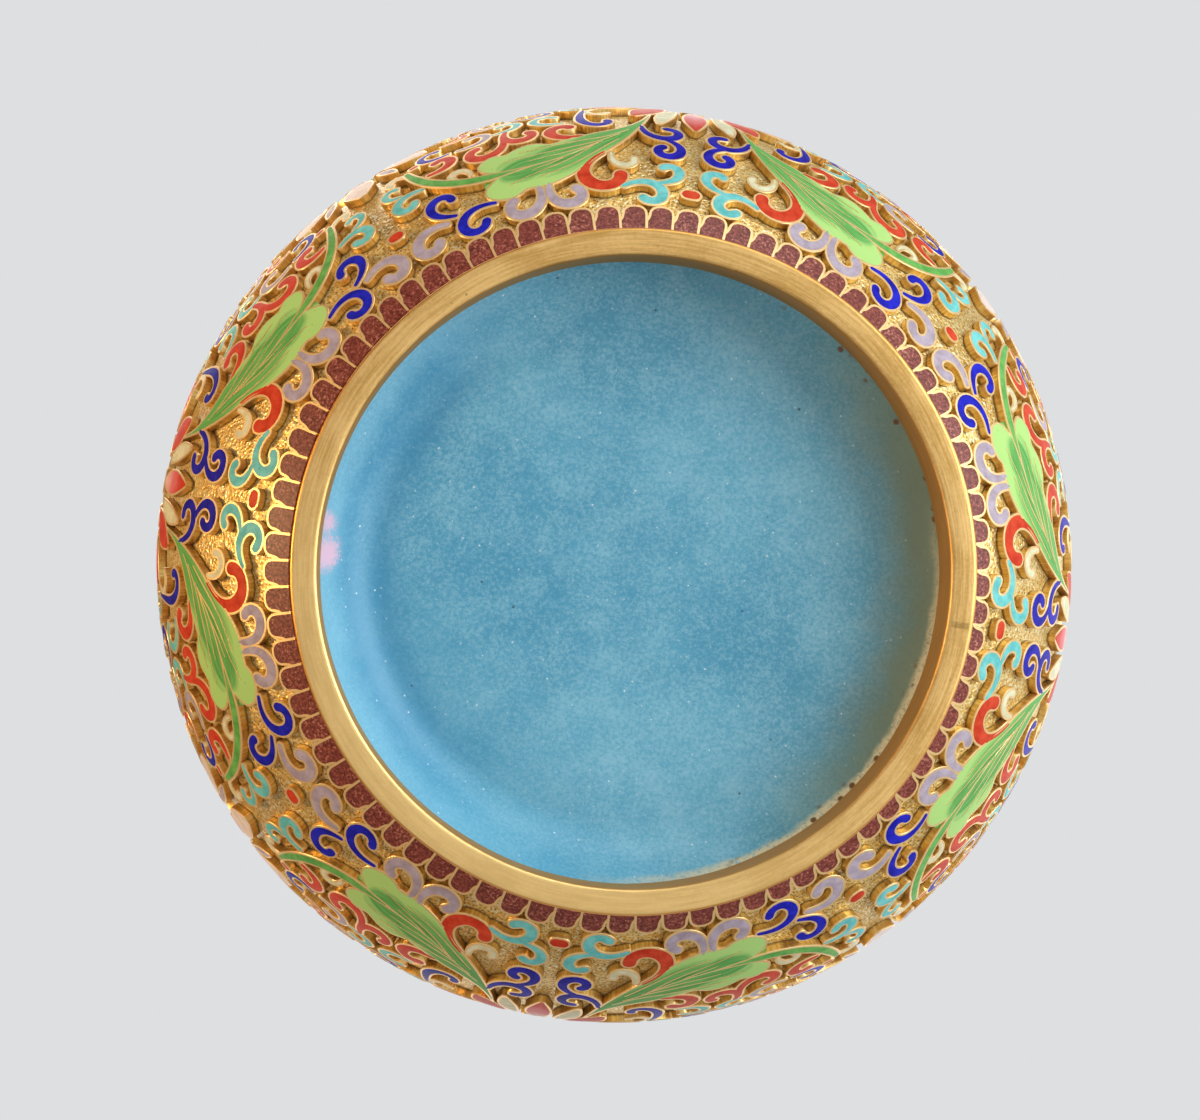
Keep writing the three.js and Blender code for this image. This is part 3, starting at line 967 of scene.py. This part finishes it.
def scroll(arc, tail, bulb, turn, halfWidth, hook=1.7, count=22, **marks):
    path = spiral(turn, hook, count)
    middle = (tail[1] + bulb[1]) / 2
    reach = complex((bulb[0] - tail[0]) * arc.degreeLength(middle), bulb[1] - tail[1])
    width = np.interp(np.linspace(0, 1, count), stroke["shares"], stroke["widths"])
    return Cell(tail, path * reach / path[-1], (halfWidth + stroke["spare"]) * width, **marks)


def flatSpot(arc, home, degrees, along):  # a design point as millimetres from the cell's home
    return complex((degrees - home[0]) * arc.degreeLength(along), along - home[1])


def petal(home, angle, near, far, halfWidth, lean=0.0, tip=1.7, across=6, count=14, **marks):
    share = np.linspace(0, 1, count)
    way = np.exp(1j * np.radians(angle - 90))
    path = way * (near + (far - near) * share) + 1j * way * lean * np.sin(math.pi * share)
    swell = 0.36 + 0.64 * np.sin(math.pi / 2 * np.clip(share / 0.5, 0, 1))
    fall = 1 - np.clip((share - 0.5) / 0.5, 0, 1) ** tip
    return Cell(home, path, halfWidth * np.minimum(swell, fall), across=across, capped=False, **marks)


def drop(home, halfLength, halfWidth, upright=0.0, **marks):
    path = np.linspace(-1, 1, 5) * (halfLength - halfWidth * 0.8) * np.exp(1j * np.radians(upright))
    return Cell(home, path, halfWidth, **marks)


scrolls = {  # tail degrees, tail mm, bulb degrees, bulb mm, turn, half width, hook
    "turquoise": [
        (4.8, 7.8, 4.4, 10.9, -215, 0.80), (10.3, 7.0, 7.4, 4.9, 262, 0.85),
        (38.3, 17.1, 40.1, 15.0, -265, 0.80),
        (41.2, 18.2, 41.2, 20.8, 215, 0.65), (17.4, 24.2, 18.2, 27.9, 235, 0.70),
        (26.6, 25.4, 25.4, 28.6, -235, 0.70),
    ],
    "navy": [
        (4.3, 18.0, 4.5, 15.7, 300, 0.88), (7.3, 21.8, 3.8, 21.3, -262, 0.85),
        (14.3, 30.6, 11.6, 23.9, -215, 0.80, 3.5),
    ],
    "cobalt": [(29.9, 8.0, 32.1, 5.5, -275, 0.82), (36.0, 8.6, 35.4, 11.9, 245, 0.82)],
    "red": [
        (13.0, 14.0, 10.7, 9.1, -232, 1.08), (15.4, 18.8, 16.7, 22.3, 232, 0.95),
        (24.9, 24.9, 22.0, 22.8, -240, 0.90),
        (25.5, 22.7, 29.4, 21.6, 250, 0.95), (36.4, 19.8, 34.9, 22.7, -222, 0.90),
    ],
    "cream": [
        (11.7, 13.9, 8.6, 12.5, -205, 0.62), (31.4, 15.2, 33.9, 15.9, -220, 0.55),
        (39.1, 23.0, 41.4, 22.6, -200, 0.60),
    ],
    "lavender": [
        (21.4, 8.7, 17.5, 7.1, -240, 0.90), (22.9, 8.5, 27.2, 7.1, 240, 0.90),
        (37.7, 7.9, 40.1, 5.6, -270, 0.90),
    ],
}
girthScrolls = {  # between the blossoms, where the side is widest
    "turquoise": [(18.4, 35.0, 21.6, 38.6, -235, 0.85), (14.7, 31.9, 14.6, 34.9, 215, 0.55)],
    "cobalt": [(28.2, 34.6, 25.0, 38.4, 235, 0.85), (32.8, 24.0, 34.0, 27.2, 235, 0.70)],
    "navy": [(23.4, 31.0, 20.8, 33.6, -240, 0.75)],
    "lavender": [(23.6, 31.0, 26.2, 33.6, 240, 0.75), (31.6, 23.7, 29.8, 27.0, -235, 0.70)],
    "red": [(33.0, 28.9, 31.5, 31.6, -225, 0.62)],
    "cream": [(12.6, 32.0, 11.4, 28.2, -190, 0.48)],
}


def scrollCells(table):
    cells = {}
    for name, rows in table.items():
        for row in rows:
            hook = row[6] if len(row) > 6 else 1.7
            cells.setdefault(name, []).append(scroll(side, row[:2], row[2:4], row[4], row[5], hook))
    return cells


def beadCells():  # small red and cream beads that fill the gaps
    return {
        "red": [
            drop((0.0, 6.3), 1.2, 1.0, paired=False),
            drop((45.0, 10.9), 1.1, 1.0, paired=False),
            drop((23.3, girth), 2.0, 1.3, 90.0, doubled=False),
            drop((28.4, 32.0), 0.8, 0.7),
            drop((37.6, 24.9), 0.85, 0.65),
        ],
        "cream": [drop((degrees, girth), 1.7, 0.75, doubled=False) for degrees in (19.4, 27.0)],
    }


leaf = {  # degrees and millimetres along, from the stem to the tip
    "home": (17.0, 0.0),
    "lower": (
        (28.2, 12.6), (29.9, 11.5), (30.9, 10.2), (30.5, 8.8),
        (29.0, 7.9), (27.3, 7.6), (25.8, 7.9), (24.5, 8.6),
        (22.6, 8.3), (20.4, 8.6), (18.4, 9.3), (16.6, 10.3),
        (15.0, 11.6), (13.4, 13.2), (11.6, 14.7), (9.9, 16.6),
        (8.5, 18.7), (7.3, 21.2), (6.3, 24.2), (5.5, 28.4),
    ),
    "upper": (
        (28.2, 13.5), (29.4, 14.1), (30.3, 15.3), (30.2, 16.5),
        (29.0, 17.6), (27.5, 18.0), (26.2, 17.4), (24.8, 18.1),
        (23.1, 18.7), (21.4, 18.5), (19.9, 17.7), (18.2, 18.1),
        (16.4, 18.7), (14.2, 19.4), (12.0, 20.1), (10.0, 21.1),
        (8.3, 22.6), (7.0, 24.8), (5.8, 28.5),
    ),
    "rib": (
        (28.0, 13.05), (24.0, 13.0), (20.0, 13.4), (16.4, 14.6),
        (13.0, 16.6), (10.0, 19.0), (7.6, 22.4), (6.2, 25.6),
        (5.65, 28.3),
    ),
    "veins": (
        ((8.9, 20.2), (11.6, 18.3), (15.2, 17.4), (19.4, 16.9), (24.2, 16.7)),
        ((10.2, 18.8), (13.2, 16.9), (17.0, 15.9), (21.6, 15.4), (26.6, 15.4)),
        ((12.6, 16.9), (15.6, 15.4), (19.0, 14.6), (23.4, 14.2)),
        ((10.4, 17.4), (12.8, 15.1), (15.6, 12.9), (18.6, 11.4), (22.4, 10.4)),
        ((13.6, 16.2), (16.4, 13.8), (19.4, 12.3), (23.2, 11.2), (26.8, 10.2)),
        ((17.4, 14.2), (20.0, 12.9), (23.2, 12.1)),
    ),
    "veinWidth": 0.11,
    "stem": (
        (13.4, 16.3), (17.6, 14.1), (21.6, 13.2), (25.4, 12.95),
        (28.6, 13.1), (32.0, 13.9), (35.0, 15.6), (37.3, 18.2),
        (38.5, 21.2), (38.9, 23.4),
    ),
    "stemShares": (0, 0.3, 0.5, 0.9, 1),
    "stemWidths": (0.1, 0.16, 0.85, 0.78, 0.6),
}


def threaded(arc, home, points, count):  # a smooth line through design points
    flat = np.array([flatSpot(arc, home, *point) for point in points])
    posts = np.concatenate([2 * flat[:1] - flat[1:2], flat, 2 * flat[-1:] - flat[-2:-1]])
    t = np.linspace(0, 1, 8, endpoint=False)
    line = []
    for a, b, c, d in zip(posts, posts[1:], posts[2:], posts[3:]):
        square, cube = 2 * a - 5 * b + 4 * c - d, 3 * b - 3 * c + d - a
        line.append((2 * b + (c - a) * t + square * t ** 2 + cube * t ** 3) / 2)
    line = np.concatenate(line + [flat[-1:]])
    length = np.concatenate([[0], np.cumsum(np.abs(np.diff(line)))])
    at = np.linspace(0, length[-1], count)
    return np.interp(at, length, line.real) + 1j * np.interp(at, length, line.imag)


def leafCells():
    home = leaf["home"]
    rib, lower, upper = (threaded(side, home, leaf[name], 44) for name in ("rib", "lower", "upper"))
    blade = Blade(home, rib, lower, upper, across=12, lift=0.02)
    veins = []
    for points in leaf["veins"]:
        width = leaf["veinWidth"] * np.interp(np.linspace(0, 1, 14), [0, 0.3, 1], [0.6, 1, 0.5])
        veins.append(Cell(home, threaded(side, home, points, 14), width, across=1, capped=False))
    width = np.interp(np.linspace(0, 1, 26), leaf["stemShares"], leaf["stemWidths"])
    stem = Cell(home, threaded(side, home, leaf["stem"], 26), width, lift=0.08)
    return blade, veins, stem


# angle from straight down, near and far from the middle, half width, lean to one side
redBlossom = {
    "petal": [(0, 10.2, 22.5, 1.75), (52, 9.0, 17.4, 2.5), (90, 8.6, 17.0, 2.5)],
    "cream": [(12.4, 12.0, 22.2, 1.3, 0.3)],
    "red": [(25, 10.0, 19.8, 2.1), (72, 9.0, 16.6, 2.1)],
    "pale": [(0, 4.9, 9.4, 1.7), (45, 4.9, 8.6, 1.7), (90, 4.9, 8.4, 1.7)],
    "boss": 3.9,
}
paleBlossom = {
    "pale": [(0, 9.0, 18.6, 2.4), (35, 9.0, 17.6, 2.4), (68, 8.8, 16.2, 2.3)],
    "lavender": [(18, 11.0, 17.8, 0.95), (52, 10.4, 16.6, 0.95), (90, 8.8, 15.4, 2.0)],
    "petal": [(0, 4.7, 8.7, 1.6), (45, 4.7, 8.4, 1.6), (90, 4.7, 8.2, 1.6)],
    "boss": 3.8,
}


def blossomCells(design, degrees, both):
    cells = {}
    home = (degrees, girth)
    for name, rows in design.items():
        if name == "boss":
            continue
        for angle, near, far, halfWidth, *lean in rows:
            for way in (1, -1) if both else (1,):
                if angle == 0 and way < 0:
                    continue
                marks = {
                    "paired": not both and angle > 0,
                    "doubled": angle < 90,
                    "lift": 0.004 * (angle % 7),  # keeps overlapping tops apart
                }
                cell = petal(home, way * angle, near, far, halfWidth, *lean, **marks)
                cells.setdefault(name, []).append(cell)
    boss = np.linspace(-1, 1, 9) * design["boss"] * 0.1
    cells["stem"] = [Cell(home, boss, design["boss"] * 0.9, across=6, paired=False, doubled=False)]
    return cells


lappet = {
    "count": 82, "spread": 0.435, "spring": 2.15, "rise": 1.4, "square": 2.3,
    "wire": 0.15, "hook": 0.55, "hookDrop": 0.95, "top": 1.0,
}


def lappetCells(arc):
    pitch = 360 / lappet["count"]
    reach = pitch * lappet["spread"]
    swing = np.linspace(0, math.pi, 9)
    power = 2 / lappet["square"]
    archDegrees = reach * np.sign(np.cos(swing)) * np.abs(np.cos(swing)) ** power
    archAlong = lappet["spring"] + lappet["rise"] * np.abs(np.sin(swing)) ** power
    hookDegrees = [-reach - lappet["hook"] * 0.35, -reach - lappet["hook"]]
    hookAlong = [lappet["spring"] - 0.5, lappet["spring"] - lappet["hookDrop"]]
    degrees = np.concatenate([[reach, reach], archDegrees, hookDegrees])
    along = np.concatenate([[-0.2, 1.0], archAlong, hookAlong])
    path = degrees * arc.degreeLength(along) + 1j * along
    wire = Cell((0, 0), path, lappet["wire"], across=1, capped=False, paired=False)
    edge = np.linspace(-1, 1, 11)
    inside = np.clip(1 - np.abs(edge * pitch / 2 / reach) ** lappet["square"], 0, 1)
    top = lappet["spring"] + lappet["rise"] * inside ** (1 / lappet["square"])
    panelPath = edge * pitch / 2 * arc.degreeLength(1.0)
    panel = Cell((0, 1.0), panelPath + 0j, top - 1.0, 1.2 + 0 * top, across=2, capped=False, paired=False)
    return wire, panel


quarters = 4  # the drawn unit goes round four times
wallShape = {"inset": 0.0, "low": -0.35, "top": 1.1, "bevel": 0.06}
fillShape = {"inset": 0.3, "low": 0.85, "top": 1.105, "crown": 0.03}
veinShape = {"inset": 0.0, "low": 1.0, "top": 1.19}


def layCells(arc, groups, prefix=""):  # walls by group, then the enamel of each colour
    fills, total = {}, 0
    for piece, group in groups.items():
        walls = Sheaf(arc)
        for name, cells in group.items():
            fills.setdefault(name, []).extend(cells)
            for cell in cells:
                walls.add(cell, **wallShape)
        total += ornamentPiece(piece, walls, finishes["wire"], quarters)
    for name, cells in fills.items():
        sheaf = Sheaf(arc)
        for cell in cells:
            sheaf.add(cell, **fillShape)
        total += ornamentPiece(prefix + name + "_cells", sheaf, finishes[name], quarters)
    return total


def makeJarOrnament():
    blade, veins, stem = leafCells()
    total = layCells(side, {
        "scroll_walls": scrollCells(scrolls),
        "girth_walls": scrollCells(girthScrolls),
        "bead_walls": beadCells(),
        "leaf_walls": {"leaf": [blade], "stem": [stem]},
        "red_blossom_walls": blossomCells(redBlossom, 0.0, False),
        "pale_blossom_walls": blossomCells(paleBlossom, 45.0, True),
    })
    veining = Sheaf(side)
    for cell in veins:
        veining.add(cell, **veinShape)
    total += ornamentPiece("leaf_veins", veining, finishes["wire"], quarters)
    print("jar ornament:", total, "triangles")


def makeBorder(name, arc, doubled):
    wire, panel = lappetCells(arc)
    wire.doubled = panel.doubled = doubled
    wires, panels = Sheaf(arc), Sheaf(arc)
    wires.add(wire, inset=0.0, low=-0.3, top=lappet["top"] + 0.06)
    panels.add(panel, inset=0.0, low=-0.3, top=lappet["top"])
    count = lappet["count"]
    total = ornamentPiece(name + "_wires", wires, finishes["wire"], count)
    total += ornamentPiece(name + "_lappets", panels, finishes["lappet"], count)
    print(name + ":", total, "triangles")


lidDesign = {
    "turquoise": [(15.5, 10.5, 10.8, 7.0, 250, 0.85), (29.5, 10.5, 34.2, 7.0, -250, 0.85)],
    "cobalt": [(20.5, 9.8, 17.6, 5.9, -235, 0.8), (24.5, 9.8, 27.4, 5.9, 235, 0.8)],
    "lavender": [(21.6, 15.5, 17.0, 14.6, 230, 0.75), (23.4, 15.5, 28.0, 14.6, -230, 0.75)],
}
lidBeads = ((12.6, 1.3, 0.85), (19.6, 1.5, 0.9))  # millimetres along, half length, half width
lidPetal = {"tip": 9.0, "root": 31.5, "halfWidth": 5.2, "coreTip": 14.5, "coreRoot": 29.5, "coreWidth": 2.3}


def makeLidOrnament():
    fills = {}
    for name, rows in lidDesign.items():
        fills[name] = [scroll(dome, row[:2], row[2:4], row[4], row[5], doubled=False) for row in rows]
    fills["red"] = [drop((22.5, along), *size, 90.0, doubled=False) for along, *size in lidBeads]
    marks = {"paired": False, "doubled": False, "count": 20, "across": 8}
    reach = lidPetal["root"] - lidPetal["tip"]
    coreReach = lidPetal["coreRoot"] - lidPetal["coreTip"]
    for outer, inner, degrees in (("petal", "pale", 0.0), ("leaf", "cream", 45.0)):
        home, coreHome = (degrees, lidPetal["root"]), (degrees, lidPetal["coreRoot"])
        fills[outer] = [petal(home, 0, 0.0, reach, lidPetal["halfWidth"], **marks)]
        fills[inner] = [petal(coreHome, 0, 0.0, coreReach, lidPetal["coreWidth"], lift=0.06, **marks)]
    total = layCells(dome, {"lid_walls": fills}, "lid_")
    print("lid ornament:", total, "triangles")


makeJarOrnament()
makeBorder("border", side, True)
makeLidOrnament()
makeBorder("lid_border", dome, False)


# stage, light and camera

stageSet = {
    "floorSize": 6.0,
    "fade": (0.2, 0.9),  # metres over which the floor turns into air
    "floorTone": colour(226, 226, 224),
    "air": colour(222, 223, 225),
    "dim": colour(104, 82, 62),
    "soft": colour(240, 240, 238),
    "glow": 0.8,
}


def makeFloor():
    half = stageSet["floorSize"] / 2
    mesh = bpy.data.meshes.new("floor")
    corners = [(-half, -half, 0), (half, -half, 0), (half, half, 0), (-half, half, 0)]
    mesh.from_pydata(corners, [], [(0, 1, 2, 3)])
    finish = Finish("floor_paper")
    place = finish.objectPlace()
    x, y = finish.parts(place)[:2]
    far = finish.between((x * x + y * y) ** 0.5, *stageSet["fade"])
    grain = finish.noise(place, 3.0, 3.0)
    paper = finish.mix(grain, stageSet["floorTone"], colour(232, 232, 230))
    finish.surface({
        "Base Color": finish.mix(far, paper, (0.0, 0.0, 0.0, 1.0)),
        "Emission Color": finish.mix(far, (0.0, 0.0, 0.0, 1.0), stageSet["air"]),
        "Emission Strength": 1.0,
        "Specular IOR Level": 0.0,
        "Roughness": 0.8,
    })
    behind = finish.node("ShaderNodeNewGeometry", None, None, "Backfacing")
    clear = finish.node("ShaderNodeBsdfTransparent")
    faces = {0: behind, 1: Strand(finish.shader.outputs[0]), 2: clear}
    oneSided = finish.node("ShaderNodeMixShader", None, faces)
    connect(finish.tree.nodes["Material Output"].inputs[0], oneSided)
    mesh.materials.append(finish.material)
    floor = bpy.data.objects.new("floor", mesh)
    bpy.context.scene.collection.objects.link(floor)
    floor.visible_shadow = False  # light from under the jar passes
    floor.visible_diffuse = False
    floor.visible_glossy = False


def makeAir():  # pale behind the jar, softly shaded for what the gilt mirrors
    world = bpy.data.worlds.new("studio")
    world.use_nodes = True
    bpy.context.scene.world = world
    air = Tree(world.node_tree)
    for node in list(world.node_tree.nodes):
        world.node_tree.nodes.remove(node)
    way = air.node("ShaderNodeTexCoord", output="Generated")
    split = world.node_tree.nodes.new("ShaderNodeSeparateXYZ")
    connect(split.inputs[0], way)
    x, y, z = (Strand(socket) for socket in split.outputs)
    shade = 0.12 + 0.5 * abs(z) - 0.3 * z + 0.2 * x + 0.06 * y
    tones = {0: shade, 6: stageSet["dim"], 7: stageSet["soft"]}
    tint = air.node("ShaderNodeMix", {"data_type": "RGBA"}, tones, 2)
    glow = air.node("ShaderNodeBackground", None, {"Color": tint, "Strength": stageSet["glow"]})
    behind = air.node("ShaderNodeBackground", None, {"Color": stageSet["air"], "Strength": 1.0})
    seen = air.node("ShaderNodeLightPath", None, None, "Is Camera Ray")
    both = air.node("ShaderNodeMixShader", None, {0: seen, 1: glow, 2: behind})
    connect(world.node_tree.nodes.new("ShaderNodeOutputWorld").inputs[0], both)


lights = {  # place in metres, size, watts, colour
    "under_key": ((0.64, -0.27, -0.36), 0.7, 5.8, (0.82, 0.94, 1.0)),
    "under_top": ((0.1, -0.7, -0.26), 0.5, 1.8, (0.88, 0.96, 1.0)),
    "under_warm": ((-0.6, 0.04, -0.08), 0.14, 2.0, (1.0, 0.68, 0.32)),
    "over_key": ((-0.3, -0.45, 1.0), 0.9, 6.0, (1.0, 0.98, 0.95)),
    "over_fill": ((0.6, 0.1, 0.8), 1.0, 3.0, (0.95, 0.97, 1.0)),
    "over_back": ((0.0, 0.6, 0.9), 1.0, 2.6, (1.0, 0.97, 0.93)),
}


def makeLights():
    aim = Vector((0, 0, jar["bellyHeight"] * mm))
    for name, (place, size, watts, tint) in lights.items():
        lamp = bpy.data.lights.new(name, "AREA")
        lamp.shape = "DISK"
        lamp.size = size
        lamp.energy = watts
        lamp.color = tint
        held = bpy.data.objects.new(name, lamp)
        held.location = place
        held.rotation_euler = (aim - Vector(place)).to_track_quat("-Z", "Y").to_euler()
        held.visible_camera = False
        bpy.context.scene.collection.objects.link(held)


camera = {
    "eye": (-15.209, -5.499, -250.0),  # millimetres, before the jar is turned to the view
    "tilt": 0.016194,
    "swing": 0.044599,
    "jarTurn": 9.8,  # degrees from the photographed foot to the flower's axis
    "lens": 66.97,
    "sensor": 36.0,
}


def makeCamera():
    turn = Matrix.Rotation(math.radians(camera["jarTurn"]), 3, "Z")
    under = Matrix(((1, 0, 0), (0, -1, 0), (0, 0, -1)))
    look = Matrix.Rotation(camera["tilt"], 3, "X") @ Matrix.Rotation(camera["swing"], 3, "Y") @ under @ turn
    lens = bpy.data.cameras.new("camera")
    lens.lens = camera["lens"]
    lens.sensor_width = camera["sensor"]
    lens.clip_start = 0.01
    viewer = bpy.data.objects.new("camera", lens)
    eye = turn.transposed() @ Vector(camera["eye"]) * mm
    viewer.matrix_world = Matrix.LocRotScale(eye, look.transposed().to_quaternion(), None)
    bpy.context.scene.collection.objects.link(viewer)
    bpy.context.scene.camera = viewer


makeFloor()
makeAir()
makeLights()
makeCamera()
bpy.context.scene.view_settings.view_transform = "Standard"
print("stage set")
